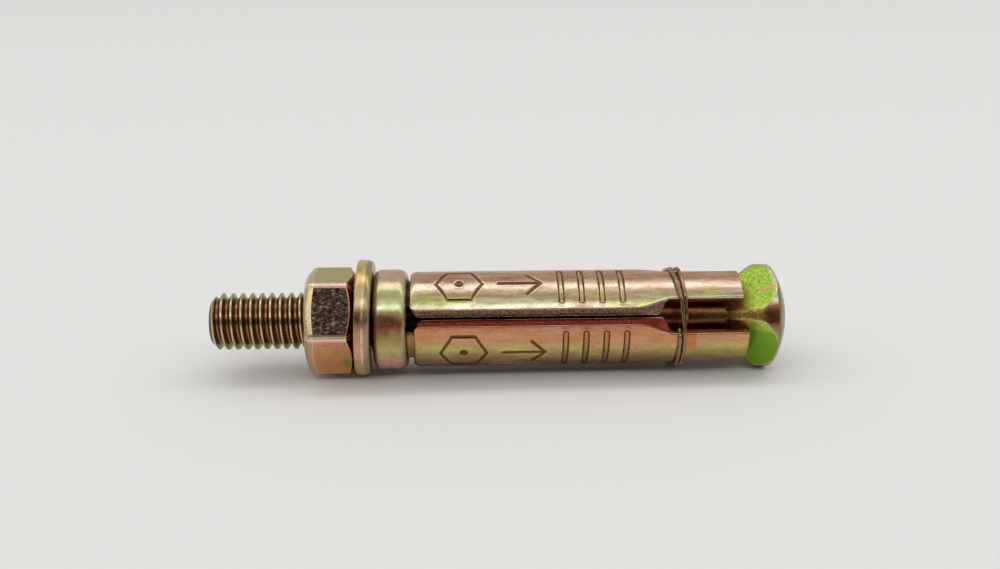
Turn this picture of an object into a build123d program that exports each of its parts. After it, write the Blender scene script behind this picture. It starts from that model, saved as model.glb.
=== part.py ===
"""Expansion shield anchor with a projecting stud, lying on its side.

A bolt with a four-sided wedge for a head is pulled by its nut into a shield of four pressed leaves.
Their necks are trapped in a pressed collar at the nut's end, and a wire ring holds them together
near the wedge, so the far ends of the leaves spread as the nut is turned.

Millimetres. X runs along the bolt, from the nut to the wedge, and Z is up. The origin is on the
bolt's axis, at the middle of the collar's widest band.
"""

import os
from math import asin, atan2, ceil, cos, degrees, radians, sin, tan

from build123d import *

# Bolt
SHANK_RADIUS = 2.65
THREAD_HEIGHT = 0.30         # crest of the free thread above the shank
THREAD_DEPTH = 0.55
THREAD_PITCH = 1.00
STUD_LENGTH = 9.85           # free thread beyond the nut
STUD_CHAMFER = 0.70

# Nut
NUT_ACROSS_FLATS = 10.0
NUT_THICKNESS = 4.90
NUT_FACE_MARGIN = 0.25       # from the chamfer's circle to the flats
NUT_CHAMFER_ANGLE = 30.0
NUT_CLEARANCE = 0.05         # nut's bore over the drawn shank
NUT_COUNTERSINK = 0.45

# Washer, which hangs loose between the nut and the collar
WASHER_MARGIN = 0.23         # beyond the nut's corners
WASHER_THICKNESS = 1.60
WASHER_HOLE_PLAY = 0.30      # hole's radius over the thread's
WASHER_END_PLAY = 0.40       # room along the bolt, beyond its thickness
WASHER_TOUCH = 0.03          # what is left open where the washer leans on its neighbours
WASHER_ROUND = 0.45          # punched side
WASHER_BEVEL = 0.15          # other side

# Collar, a pressed cup
COLLAR_NOSE = 0.90           # rounded edge at the washer
COLLAR_BAND = 1.60           # widest part
COLLAR_CURL = 1.00           # part that is curled in over the necks
COLLAR_STEP = 0.22           # band over the leaves
COLLAR_NOSE_DROP = 0.70
COLLAR_WALL = 0.72
COLLAR_BASE = 0.85
COLLAR_LIP = 0.14            # thickness left at the curled edge
COLLAR_HOLE_PLAY = 0.25      # base hole's radius over the thread's

# Leaves of the shield
LEAF_COUNT = 4
LEAF_LENGTH = 34.10
LEAF_WALL = 1.10
LEAF_GAP = 0.20
LEAF_STANDOFF = 0.30         # from the collar's edge to the nearest leaf
LEAF_PLAY = 0.40             # how far the furthest leaf has slid from the collar
LEAF_BEVEL_WIDTH = 0.60      # across the gap's edge
LEAF_BEVEL_DEPTH = 0.55
LEAF_CORNER_CUT = 1.10
LEAF_WIDE_LENGTH = 24.70     # full width, from the collar's end
LEAF_TAPER_LENGTH = 2.00
LEAF_NARROW_ANGLE = 24.0     # half the width of the narrow end
# Each leaf: angle of its middle about X, and the share of the play that it has slid
LEAVES = {
    "leaf_upper_front": (115.0, 0.0),
    "leaf_lower_front": (205.0, 1.0),
    "leaf_upper_back": (25.0, 0.75),
    "leaf_lower_back": (295.0, 0.375),
}

# Neck of each leaf, inside the collar
NECK_ROOM = 0.55             # from the shank to the neck
NECK_WALL = 0.95
NECK_ANGLE = 27.0            # half its width
NECK_CLEARANCE = 0.07        # under the collar's lip
NECK_JOGGLE = 0.70           # step from the neck's inside to the leaf's
NECK_JOGGLE_LENGTH = 0.90
NECK_REACH = 2.60            # from the leaf's shoulder to the end of its bead
BEAD_LENGTH = 0.90
BEAD_HEIGHT = 0.20

# Stamped bars across each leaf
BAR_COUNT = 4
BAR_FIRST = 15.35            # from the leaf's shoulder
BAR_SPACING = 2.07
BAR_WIDTH = 0.60
BAR_DEPTH = 0.18
BAR_ANGLE = 26.5             # half its length

# Wedge head
WEDGE_STANDOFF = 1.45        # from the furthest leaf to the rim
WEDGE_LENGTH = 3.35          # flare, from the shank to the rim
WEDGE_BULGE = 0.12
RIM_STEP = 0.38              # rim over the leaves
RIM_LENGTH = 1.50
DOME_HEIGHT = 1.60
FACET_DEPTH = 1.08           # below the rim, where the rim starts
FACET_ANGLE = 32.0

# Wire ring round the narrow ends
WIRE_DIAMETER = 0.42
WIRE_SIDE_COUNT = 6          # flats that stand for the wire's round section
WIRE_CLEARANCE = 0.02
RING_TURNS = 2.0
RING_PITCH = 0.62
RING_OFFSET = 1.05           # from the end of the leaf's taper
RING_SLANT = 2.0
RING_START = 65.0            # angle of the wire's cut end about X

# Radii, from the shank outwards
thread_radius = SHANK_RADIUS + THREAD_HEIGHT
neck_inner = SHANK_RADIUS + NECK_ROOM
neck_outer = neck_inner + NECK_WALL
lip_inner = neck_outer + NECK_CLEARANCE
lip_outer = lip_inner + COLLAR_LIP
leaf_inner = neck_inner + NECK_JOGGLE
leaf_outer = leaf_inner + LEAF_WALL
collar_radius = leaf_outer + COLLAR_STEP
washer_radius = NUT_ACROSS_FLATS / 2 / cos(radians(30)) + WASHER_MARGIN
cup_inner = collar_radius - COLLAR_WALL
rim_radius = leaf_outer + RIM_STEP

# Places along X
band_start = -COLLAR_BAND / 2
band_end = COLLAR_BAND / 2
collar_start = band_start - COLLAR_NOSE
collar_end = band_end + COLLAR_CURL
nut_end = collar_start - WASHER_THICKNESS - WASHER_END_PLAY
nut_start = nut_end - NUT_THICKNESS
stud_end = nut_start - STUD_LENGTH
leaf_start = collar_end + LEAF_STANDOFF
furthest_leaf = leaf_start + LEAF_LENGTH + LEAF_PLAY
rim_start = furthest_leaf + WEDGE_STANDOFF
rim_end = rim_start + RIM_LENGTH
ring_middle = leaf_start + LEAF_WIDE_LENGTH + LEAF_TAPER_LENGTH + RING_OFFSET

ROUND_FLAT_COUNT = 3         # flats that stand for each rounded edge and for the head's dome
BEYOND = 1.0                 # how far cutting tools reach past what they cut


def turned(*edges, arc=360.0):
    """The closed outline of edges, in X and radius, turned about X."""
    return revolve(make_face(Wire(list(edges))), Axis.X, revolution_arc=arc)


def outline(*points):
    """Straight edges through the points and back to the first."""
    return Polyline(*points, close=True).edges()


def sector(start, end, inner, outer, half_angle, middle):
    """A ring's sector: half_angle each side of the direction that is middle degrees about X."""
    section = outline((start, inner), (end, inner), (end, outer), (start, outer))
    return Rot(X=middle - half_angle) * turned(*section, arc=2 * half_angle)


def expander_bolt():
    body = turned(
        *outline(
            (stud_end, 0),
            (stud_end, thread_radius - STUD_CHAMFER),
            (stud_end + STUD_CHAMFER, thread_radius),
            *thread_section(stud_end + STUD_CHAMFER, nut_start),
            (rim_end, SHANK_RADIUS),
            (rim_end, 0),
        )
    )
    wedge_start = rim_start - WEDGE_LENGTH
    apex = rim_end + DOME_HEIGHT
    ball = (rim_radius**2 + DOME_HEIGHT**2) / (2 * DOME_HEIGHT)
    spread = atan2(rim_radius, ball - DOME_HEIGHT)
    turns = [spread * step / ROUND_FLAT_COUNT for step in reversed(range(ROUND_FLAT_COUNT))]
    dome = [(apex - ball + ball * cos(turn), ball * sin(turn)) for turn in turns]
    wedge = turned(
        SagittaArc((wedge_start, SHANK_RADIUS), (rim_start, rim_radius), -WEDGE_BULGE),
        *Polyline(
            (rim_start, rim_radius),
            (rim_end, rim_radius),
            *dome,
            (wedge_start, 0),
            (wedge_start, SHANK_RADIUS),
        ).edges(),
    )
    for middle, _ in LEAVES.values():
        wedge -= facet_cutter(middle, wedge_start, apex)
    return body + wedge


def thread_section(start, end):
    """Rings for the turns of the free thread, with a short plain crest at each end."""
    count = ceil((end - start) / THREAD_PITCH) - 1
    first = (start + end - count * THREAD_PITCH) / 2
    points = [(first, thread_radius)]
    for number in range(1, count + 1):
        crest = first + number * THREAD_PITCH
        points += [(crest - THREAD_PITCH / 2, thread_radius - THREAD_DEPTH), (crest, thread_radius)]
    return [*points, (end, thread_radius), (end, SHANK_RADIUS)]


def facet_cutter(middle, start, end):
    """What lies outside one flat of the wedge, which faces middle degrees about X."""
    def height(x):
        return rim_radius - FACET_DEPTH + (x - rim_start) * tan(radians(FACET_ANGLE))

    top = height(end + BEYOND)
    side = outline(
        (start - BEYOND, height(start - BEYOND)),
        (end + BEYOND, top),
        (start - BEYOND, top),
    )
    slab = extrude(make_face(Wire(list(side))), amount=rim_radius + BEYOND, both=True)
    return Rot(X=middle) * slab


def hex_nut():
    blank = Pos(nut_start, 0, 0) * extrude(
        Plane.YZ * RegularPolygon(NUT_ACROSS_FLATS / 2, 6, major_radius=False),
        amount=NUT_THICKNESS,
    )
    face = NUT_ACROSS_FLATS / 2 - NUT_FACE_MARGIN
    corner = NUT_ACROSS_FLATS / 2 / cos(radians(30)) + BEYOND
    chamfer = (corner - face) * tan(radians(NUT_CHAMFER_ANGLE))
    bore = SHANK_RADIUS + NUT_CLEARANCE
    mouth = bore + NUT_COUNTERSINK
    form = turned(
        *outline(
            (nut_start, mouth),
            (nut_start, face),
            (nut_start + chamfer, corner),
            (nut_end - chamfer, corner),
            (nut_end, face),
            (nut_end, mouth),
            (nut_end - NUT_COUNTERSINK, bore),
            (nut_start + NUT_COUNTERSINK, bore),
        )
    )
    return blank & form


def washer():
    hole = thread_radius + WASHER_HOLE_PLAY
    half = WASHER_THICKNESS / 2
    disc = turned(
        *outline(
            (-half, hole),
            (half, hole),
            *rounded((half - WASHER_ROUND, washer_radius), (half, washer_radius - WASHER_ROUND))[::-1],
            (WASHER_BEVEL - half, washer_radius),
            (-half, washer_radius - WASHER_BEVEL),
        )
    )
    lean = degrees(asin((WASHER_END_PLAY - WASHER_TOUCH) / (2 * washer_radius)))
    lift = WASHER_HOLE_PLAY - WASHER_TOUCH
    middle = (nut_end + collar_start) / 2
    return Pos(middle, 0, lift) * Rot(Y=lean) * disc


def collar():
    hole = thread_radius + COLLAR_HOLE_PLAY
    cup_bottom = collar_start + COLLAR_BASE
    return turned(
        *outline(
            (collar_start, hole),
            *rounded((band_start, collar_radius), (collar_start, collar_radius - COLLAR_NOSE_DROP))[::-1],
            *rounded((band_end, collar_radius), (collar_end, lip_outer)),
            (collar_end, lip_inner),
            (collar_end - COLLAR_LIP, lip_inner),
            (band_end, cup_inner),
            (cup_bottom, cup_inner),
            (cup_bottom, hole),
        )
    )


def rounded(level, steep):
    """Points of a quarter of an ellipse, from where it is level along X to where it is steep."""
    (x0, r0), (x1, r1) = level, steep
    turns = [radians(90 * step / ROUND_FLAT_COUNT) for step in range(ROUND_FLAT_COUNT + 1)]
    return [(x0 + (x1 - x0) * sin(turn), r1 + (r0 - r1) * cos(turn)) for turn in turns]


def leaf(middle, slid):
    shoulder = leaf_start + slid * LEAF_PLAY
    tip = shoulder + LEAF_LENGTH
    neck_end = shoulder - NECK_REACH
    bead_end = neck_end + BEAD_LENGTH
    blank = turned(
        *outline(
            (neck_end, neck_inner),
            (shoulder, neck_inner),
            (shoulder + NECK_JOGGLE_LENGTH, leaf_inner),
            (tip, leaf_inner),
            (tip, leaf_outer),
            (shoulder, leaf_outer),
            (shoulder, neck_outer),
            (bead_end, neck_outer),
            (bead_end - BEAD_HEIGHT, neck_outer + BEAD_HEIGHT),
            (neck_end, neck_outer + BEAD_HEIGHT),
        )
    )
    body = blank & quadrant(neck_end, tip)
    narrow_start = shoulder + LEAF_WIDE_LENGTH + LEAF_TAPER_LENGTH
    slot = 360 / LEAF_COUNT / 2
    beside_tip = (narrow_start, tip + BEYOND, SHANK_RADIUS, leaf_outer + BEYOND)
    beside_neck = (neck_end - BEYOND, shoulder, SHANK_RADIUS, leaf_outer)
    for gap in (0, 360 / LEAF_COUNT):
        body -= sector(*beside_tip, slot - LEAF_NARROW_ANGLE, gap)
        body -= sector(*beside_neck, slot - NECK_ANGLE, gap)
    for turn in (0, 1):
        body -= edge_cutter(shoulder, narrow_start, turn)
    for number in range(BAR_COUNT):
        body -= bar_cutter(shoulder + BAR_FIRST + number * BAR_SPACING)
    return Rot(X=middle - slot) * body


def quadrant(start, end):
    """The room between two neighbouring gaps, with the leaf's bevels along its outer edges."""
    gap = LEAF_GAP / 2
    across = gap + LEAF_BEVEL_WIDTH
    top = (leaf_outer**2 - across**2) ** 0.5
    low = top - LEAF_BEVEL_DEPTH
    out = BEYOND / LEAF_BEVEL_WIDTH
    rise, run = LEAF_BEVEL_DEPTH * out, LEAF_BEVEL_WIDTH * out
    section = outline(
        (gap, gap),
        (low, gap),
        (top + rise, across + run),
        (leaf_outer + BEYOND, leaf_outer + BEYOND),
        (across + run, top + rise),
        (gap, low),
    )
    face = Plane.YZ * make_face(Wire(list(section)))
    return Pos(start, 0, 0) * extrude(face, amount=end - start)


def edge_cutter(shoulder, narrow_start, turn):
    """What is missing from one long edge of a leaf: its corner at the collar and its taper to the slot."""
    gap = LEAF_GAP / 2
    depth = leaf_outer * sin(radians(360 / LEAF_COUNT / 2 - LEAF_NARROW_ANGLE)) - gap
    start = narrow_start - LEAF_TAPER_LENGTH
    radius = (LEAF_TAPER_LENGTH**2 + depth**2) / (4 * depth)
    bend = 2 * degrees(atan2(depth, LEAF_TAPER_LENGTH))
    rise = JernArc((start, gap), (1, 0), radius, bend)
    level = JernArc(rise @ 1, rise % 1, radius, -bend)
    last = level @ 1
    taper = make_face(
        Wire(
            [
                rise,
                level,
                Line(last, (last.X, -BEYOND)),
                Line((last.X, -BEYOND), (start, -BEYOND)),
                Line((start, -BEYOND), (start, gap)),
            ]
        )
    )
    corner = make_face(
        Wire(
            list(
                outline(
                    (shoulder, -BEYOND),
                    (shoulder + LEAF_CORNER_CUT + gap + BEYOND, -BEYOND),
                    (shoulder, gap + LEAF_CORNER_CUT),
                )
            )
        )
    )
    cutter = extrude(taper + corner, amount=leaf_outer + BEYOND)
    if turn:
        return cutter
    return mirror(Rot(X=90) * cutter, Plane.XZ)


def bar_cutter(place):
    """One stamped bar, with sloping sides."""
    half = BAR_WIDTH / 2
    floor = leaf_outer - BAR_DEPTH
    section = outline(
        (place - half + BAR_DEPTH / 2, floor),
        (place + half - BAR_DEPTH / 2, floor),
        (place + half, leaf_outer),
        (place + half, leaf_outer + BEYOND),
        (place - half, leaf_outer + BEYOND),
        (place - half, leaf_outer),
    )
    return Rot(X=360 / LEAF_COUNT / 2 - BAR_ANGLE) * turned(*section, arc=2 * BAR_ANGLE)


def retaining_ring():
    radius = leaf_outer + WIRE_CLEARANCE + WIRE_DIAMETER / 2
    length = RING_TURNS * RING_PITCH
    path = Helix(RING_PITCH, length, radius)
    start = Plane(path @ 0, z_dir=path % 0)
    wire = sweep(start * RegularPolygon(WIRE_DIAMETER / 2, WIRE_SIDE_COUNT), path=path)
    coil = Rot(Y=90) * Pos(0, 0, -length / 2) * wire
    return Pos(ring_middle, 0, 0) * Rot(Z=RING_SLANT) * Rot(X=RING_START) * coil


os.makedirs("parts", exist_ok=True)
nodes = {
    "expander_bolt": expander_bolt(),
    "hex_nut": hex_nut(),
    "washer": washer(),
    "collar": collar(),
    "retaining_ring": retaining_ring(),
}
for name, (middle, slid) in LEAVES.items():
    nodes[name] = leaf(middle, slid)
for name, shape in nodes.items():
    export_step(shape, f"parts/{name}.step")
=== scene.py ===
"""Looks of the expansion shield anchor: true thread, pressed leaves, wire ring and yellow passivated finish,
with painted highlights and painted shade in its colours.

Lengths are millimetres until a mesh is made. Angles are degrees about X, from +Y towards +Z. The camera
stands on the -Y side, a little above, so 160 degrees faces it.
"""
from math import asin, atan2, cos, degrees, pi, radians, sin, tan

import bmesh
import bpy
import numpy as np
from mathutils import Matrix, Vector


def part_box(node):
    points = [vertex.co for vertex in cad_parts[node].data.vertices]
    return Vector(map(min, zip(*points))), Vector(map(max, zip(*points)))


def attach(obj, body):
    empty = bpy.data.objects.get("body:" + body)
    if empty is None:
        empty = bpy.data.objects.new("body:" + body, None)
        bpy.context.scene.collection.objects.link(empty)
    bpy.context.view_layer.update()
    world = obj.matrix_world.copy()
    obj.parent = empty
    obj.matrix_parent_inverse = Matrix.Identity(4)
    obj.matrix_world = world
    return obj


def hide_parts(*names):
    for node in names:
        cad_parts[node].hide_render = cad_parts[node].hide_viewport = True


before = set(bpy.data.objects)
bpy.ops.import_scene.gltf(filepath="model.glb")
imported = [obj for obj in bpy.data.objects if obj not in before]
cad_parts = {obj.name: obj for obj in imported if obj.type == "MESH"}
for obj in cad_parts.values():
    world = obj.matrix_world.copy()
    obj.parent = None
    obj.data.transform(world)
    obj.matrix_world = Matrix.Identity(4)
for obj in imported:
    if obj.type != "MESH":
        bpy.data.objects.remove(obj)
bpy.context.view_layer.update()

MM = 0.001


def span(node):
    """Lowest and highest corner of a CAD node."""
    return [np.array(corner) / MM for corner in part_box(node)]


# Places of the frame's pieces along X
stud_end, apex = (corner[0] for corner in span("expander_bolt"))
nut_start, nut_end = (corner[0] for corner in span("hex_nut"))
collar_start, collar_end = (corner[0] for corner in span("collar"))

# Sizes that the frame's solids have too
SHANK_RADIUS = 2.65
NUT_ACROSS_FLATS = 10.0
NUT_THICKNESS = nut_end - nut_start
COLLAR_RADIUS = 5.22
COLLAR_NOSE = 0.90
COLLAR_BAND = 1.60
COLLAR_CURL = 1.00
LEAF_OUTER = 5.0
LEAF_INNER = 3.9
LEAF_LENGTH = 34.10
LEAVES = {"leaf_upper_front": 115, "leaf_lower_front": 205, "leaf_upper_back": 25, "leaf_lower_back": 295}
RIM_RADIUS = 5.38
RIM_LENGTH = 1.50
DOME_HEIGHT = 1.60
WEDGE_LENGTH = 3.35
WEDGE_BULGE = 0.12
FACET_DEPTH = 1.08
FACET_ANGLE = 32.0
WIRE_DIAMETER = 0.42
WASHER_THICKNESS = 1.6
WASHER_HOLE = 3.25
WASHER_LEAN = 0.37           # along X, from one edge of the rim to the opposite one

# The bolt's head along X
rim_end = apex - DOME_HEIGHT
rim_start = rim_end - RIM_LENGTH
wedge_start = rim_start - WEDGE_LENGTH

# Thread, M6 x 1.0, right-handed
PITCH = 1.0
THREAD_OUTER = 2.95
THREAD_ROOT = 2.42
CREST_PLACE, CREST_TURN = -9.36, 70   # a place along X and an angle where a crest lies
CREST_HALF, FLANK_END = 0.07, 0.40    # along X from a crest's middle
STUD_CHAMFER = 0.70

# Where a nearly smooth edge ends and a sharp one begins, in degrees between two faces
SHARP_EDGE = 38.0
BOLT_SHARP_EDGE = 50.0


def smooth_step(value, start, end):
    share = np.clip((value - start) / (end - start), 0, 1)
    return share * share * (3 - 2 * share)


def smooth_least(first, second, radius):
    """The smaller of two lengths, with the corner where they meet rounded."""
    share = np.clip(0.5 + 0.5 * (second - first) / radius, 0, 1)
    return second * (1 - share) + first * share - radius * share * (1 - share)


def ring_points(x, radius, turn):
    """Points at these places along X, radii and angles about X."""
    x, radius, turn = np.broadcast_arrays(x, radius, np.radians(turn))
    return np.stack([x, radius * np.cos(turn), radius * np.sin(turn)], axis=-1)


class Mesh:
    """Collects surfaces, then makes one object of them, with a place for each point that materials read."""

    def __init__(self, name):
        self.name, self.points, self.places, self.faces = name, [], [], []
        self.count = 0

    def add(self, points, places, round_rows=True, round_columns=False, flip=False):
        """Quads between neighbouring points of a grid, whose rows and columns may be closed."""
        rows, columns = points.shape[:2]
        index = np.arange(rows * columns).reshape(rows, columns) + self.count
        if round_columns:
            index = np.vstack([index, index[:1]])
        if round_rows:
            index = np.hstack([index, index[:, :1]])
        corners = [index[:-1, :-1], index[:-1, 1:], index[1:, 1:], index[1:, :-1]]
        quads = np.stack([c.ravel() for c in corners], axis=-1)
        self.faces += (quads[:, ::-1] if flip else quads).tolist()
        self.points.append(points.reshape(-1, 3))
        self.places.append(np.broadcast_to(places, points.shape).reshape(-1, 3))
        self.count += rows * columns
        return index

    def cap(self, indices):
        """One flat face over these points."""
        self.faces.append([int(i) for i in indices])

    def make(self, finish, sharp=SHARP_EDGE):
        mesh = bpy.data.meshes.new(self.name)
        points = np.concatenate(self.points) * MM
        mesh.from_pydata(points.tolist(), [], self.faces)
        place = mesh.attributes.new("place", "FLOAT_VECTOR", "POINT")
        place.data.foreach_set("vector", np.concatenate(self.places).astype(np.float32).ravel())
        work = bmesh.new()
        work.from_mesh(mesh)
        bmesh.ops.remove_doubles(work, verts=work.verts, dist=1e-7)
        bmesh.ops.dissolve_degenerate(work, edges=work.edges, dist=1e-8)
        bmesh.ops.recalc_face_normals(work, faces=work.faces)
        for face in work.faces:
            face.smooth = True
        for edge in work.edges:
            if len(edge.link_faces) == 2:
                edge.smooth = edge.calc_face_angle(0) < radians(sharp)
        work.to_mesh(mesh)
        work.free()
        mesh.materials.append(finish)
        thing = bpy.data.objects.new(self.name, mesh)
        bpy.context.scene.collection.objects.link(thing)
        return thing


def turned(profile, columns=240):
    """Points of an outline of (x, radius) turned about X."""
    profile = np.array(profile)
    return ring_points(profile[:, :1], profile[:, 1:2], np.arange(columns) * 360 / columns)


def arc(centre, radii, start, end, steps):
    """Points on a quarter or less of an ellipse, in (x, radius), from start to end degrees."""
    turns = np.radians(np.linspace(start, end, steps))
    return [(centre[0] + radii[0] * cos(t), centre[1] + radii[1] * sin(t)) for t in turns]


# Materials


def srgb(red, green, blue):
    """A colour as the eye names it, from 0 to 255, as the shader wants it."""
    parts = [c / 255 for c in (red, green, blue)]
    return (*[c / 12.92 if c <= 0.04045 else ((c + 0.055) / 1.055) ** 2.4 for c in parts], 1.0)


class Nodes:
    """Short calls that add nodes to a tree. Colours are (red, green, blue), from 0 to 255."""

    def __init__(self, tree):
        self.nodes, self.links = tree.nodes, tree.links

    def add(self, kind, inputs=None, **settings):
        node = self.nodes.new("ShaderNode" + kind)
        for key, value in settings.items():
            setattr(node, key, value)
        for key, value in (inputs or {}).items():
            if isinstance(value, bpy.types.NodeSocket):
                self.links.new(value, node.inputs[key])
            else:
                node.inputs[key].default_value = value
        return node

    def math(self, operation, *terms):
        return self.add("Math", dict(enumerate(terms)), operation=operation).outputs[0]

    def times(self, product, *factors):
        """All of these multiplied."""
        for factor in factors:
            product = self.math("MULTIPLY", product, factor)
        return product

    def ramp(self, value, stops):
        """Colours that follow a value from 0 to 1. Stops are (position, colour)."""
        node = self.add("ValToRGB", {"Fac": value})
        elements = node.color_ramp.elements
        while len(elements) < len(stops):
            elements.new(0.5)
        for element, (position, _) in zip(elements, stops):
            element.position = position
        for element, (_, colour) in zip(elements, stops):
            element.color = srgb(*colour)
        return node.outputs[0]

    def mix(self, share, first, second):
        """The first colour where the share is 0, the second where it is 1."""
        pair = [c if isinstance(c, bpy.types.NodeSocket) else srgb(*c) for c in (first, second)]
        return self.add("Mix", {0: share, 6: pair[0], 7: pair[1]}, data_type="RGBA").outputs[2]


class Finish(Nodes):
    """A metal material. Its calls know where a point is, in millimetres, at what share of a turn about X, and
    what the mesh says of its place."""

    def __init__(self, name):
        self.material = bpy.data.materials.new(name)
        self.material.use_nodes = True
        super().__init__(self.material.node_tree)
        self.shader = self.nodes["Principled BSDF"]
        self.shader.inputs["Metallic"].default_value = 1.0
        coordinates = self.add("TexCoord").outputs["Object"]
        self.where = self.add("VectorMath", {0: coordinates, "Scale": 1 / MM}, operation="SCALE").outputs[0]
        self.x, self.y, self.z = self.add("SeparateXYZ", {0: self.where}).outputs
        turn = self.math("DIVIDE", self.math("ARCTAN2", self.z, self.y), 2 * pi)
        self.turn = self.math("FRACT", self.math("ADD", turn, 1.0))
        place = self.add("Attribute", attribute_name="place").outputs["Vector"]
        self.place = self.add("SeparateXYZ", {0: place}).outputs

    def noise(self, scale, detail=3.0, stretch=(1, 1, 1), shift=0.0, rough=0.55):
        """Clouds about 1 / scale mm across, from 0 to 1."""
        inputs = {"Vector": self.where, "Location": (shift, shift, shift), "Scale": stretch}
        moved = self.add("Mapping", inputs).outputs[0]
        inputs = {"Vector": moved, "Scale": scale, "Detail": detail, "Roughness": rough}
        return self.add("TexNoise", inputs).outputs[0]

    def swing(self, clouds, size):
        """Clouds from 0 to 1 as an amount from minus to plus half of this size."""
        return self.times(self.math("SUBTRACT", clouds, 0.5), size)

    def between(self, value, start, end):
        """0 before start, 1 past end, smooth between. Start may be above end."""
        inputs = {"Value": value, "From Min": start, "From Max": end}
        return self.add("MapRange", inputs, interpolation_type="SMOOTHSTEP").outputs[0]

    def band(self, value, start, end, soft):
        """1 between start and end, 0 outside."""
        rise = self.between(value, start - soft, start + soft)
        fall = self.between(value, end - soft, end + soft)
        return self.math("SUBTRACT", rise, fall)

    def turn_between(self, start, end):
        """0 before one angle, 1 past another, in degrees about X."""
        return self.between(self.turn, start / 360, end / 360)

    def turn_band(self, start, end, soft):
        """1 between two angles about X, 0 outside."""
        return self.band(self.turn, start / 360, end / 360, soft / 360)

    def tint(self, colour, mask, share, other):
        """A colour with this share of another one over it where the mask is 1."""
        return self.mix(self.times(mask, share), colour, other)

    def finish(self, colour, roughness, bump, strength, depth):
        self.links.new(colour, self.shader.inputs["Base Color"])
        if isinstance(roughness, bpy.types.NodeSocket):
            self.links.new(roughness, self.shader.inputs["Roughness"])
        else:
            self.shader.inputs["Roughness"].default_value = roughness
        inputs = {"Height": bump, "Strength": strength, "Distance": depth * MM}
        self.links.new(self.add("Bump", inputs).outputs[0], self.shader.inputs["Normal"])
        return self.material


def in_turns(tones):
    """Tones by degrees as tones by shares of a turn."""
    return [(angle / 360, colour) for angle, colour in tones]


def tones_by_turn(made, wander, tones, scale=0.5):
    """Colours that follow the angle about X, with borders that wander up to this many degrees each way."""
    moved = made.swing(made.noise(scale, stretch=(0.45, 1, 1)), wander / 180)
    turn = made.math("FRACT", made.math("ADD", made.math("ADD", made.turn, moved), 1.0))
    return made.ramp(turn, in_turns(tones))


PINK = (214, 158, 138)
PINK_BROWN = (222, 172, 142)
GOLD = (224, 184, 104)
PALE_GOLD = (226, 206, 146)
YELLOW_GREEN = (196, 206, 104)
OLIVE = (176, 168, 104)
TAN = (206, 160, 112)
BROWN = (120, 86, 58)
SHADED = (34, 24, 19)

# Tones of the finishes, by degrees about X. They hold painted light: the pale bands are painted highlights,
# the dark bands facing the camera are painted dark reflection, and the darker undersides are painted shade
LEAF_TONES = [
    (0, PINK_BROWN), (30, OLIVE), (60, PINK_BROWN), (84, (216, 178, 158)), (95, (210, 164, 134)),
    (107, (204, 158, 128)), (115, (212, 180, 154)), (121, (222, 204, 182)), (130, (200, 176, 140)),
    (138, (190, 178, 134)), (144, (208, 202, 164)), (149, (228, 226, 206)), (156, (206, 190, 160)),
    (166, (206, 132, 94)), (182, (206, 146, 104)), (192, (208, 156, 112)), (200, (204, 174, 116)),
    (210, (184, 162, 102)), (220, (160, 130, 84)), (231, (120, 78, 50)), (262, (112, 60, 40)),
    (300, PINK_BROWN), (340, OLIVE),
]
COLLAR_TONES = [
    (0, TAN), (40, OLIVE), (70, PINK_BROWN), (88, (220, 182, 162)), (104, (224, 188, 162)),
    (115, (222, 202, 184)), (124, (192, 190, 142)), (133, (184, 182, 128)), (141, (200, 204, 150)),
    (147, (210, 212, 180)), (153, (170, 156, 108)), (160, (196, 150, 112)), (168, (152, 84, 62)),
    (176, (140, 96, 66)), (184, (160, 144, 92)), (194, (188, 178, 118)), (202, (200, 186, 128)),
    (210, (226, 186, 160)), (226, (228, 176, 150)), (240, (200, 146, 120)), (262, (140, 104, 84)),
    (300, GOLD), (335, PINK_BROWN),
]
WASHER_TONES = [
    (0, GOLD), (60, PALE_GOLD), (88, (226, 204, 136)), (104, (222, 204, 124)), (118, (212, 184, 108)),
    (130, (204, 176, 124)), (141, (214, 192, 146)), (150, (160, 122, 82)), (160, (160, 116, 84)),
    (170, (186, 142, 110)), (186, (202, 160, 126)), (202, (202, 170, 124)), (214, (212, 184, 124)),
    (232, (200, 160, 106)), (262, (150, 124, 84)), (300, OLIVE), (340, PALE_GOLD),
]
RIM_TONES = [
    (60, (176, 164, 120)), (92, (214, 206, 184)), (142, (216, 208, 184)), (150, (132, 88, 66)),
    (168, (128, 84, 64)), (182, (168, 150, 108)), (210, (200, 186, 160)), (250, (150, 128, 100)),
]

# Tones by the brightness of clouds, and for the dome from its rim to its middle
SCRAPED_TONES = [(0.38, (34, 27, 23)), (0.48, (68, 54, 45)), (0.58, (112, 92, 78)), (0.68, (180, 158, 142))]
FACET_TONES = [
    (0.34, (124, 160, 48)), (0.47, (160, 195, 66)), (0.58, (196, 220, 98)), (0.72, (232, 232, 160)),
]
WIRE_TONES = [(0.35, (120, 104, 78)), (0.5, (164, 134, 104)), (0.65, (178, 138, 120))]
DOME_TONES = [
    (0.00, (146, 136, 74)), (0.20, (128, 102, 60)), (0.45, (134, 112, 76)), (0.72, (154, 146, 92)),
    (1.0, (144, 132, 92)),
]

LONG, EVEN = (0.5, 1, 1), (1, 1, 1)   # clouds twice as long along X, and round ones

# The part of a leaf that a point is on: 3 inside, 2.6 to 1.2 round the lower corner of its edge, 1.2 to 1 on
# the bevel, 1 to 0 round the rim, 0 outside, below 0 a stamp's depth as a share of the bars', and -2 the neck
EDGE_PARTS = [3.0, 2.6, 2.2, 1.8, 1.2, 1.0, 0.9, 0.5, 0.2, 0.0]
INSIDE_PART = 3.0
NECK_PART = -2.0

# The nut's flats as its points name them
TOP_FLAT, SCRAPED_FLAT, OTHER_FLAT = 1.0, 2.0, 3.0
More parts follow.
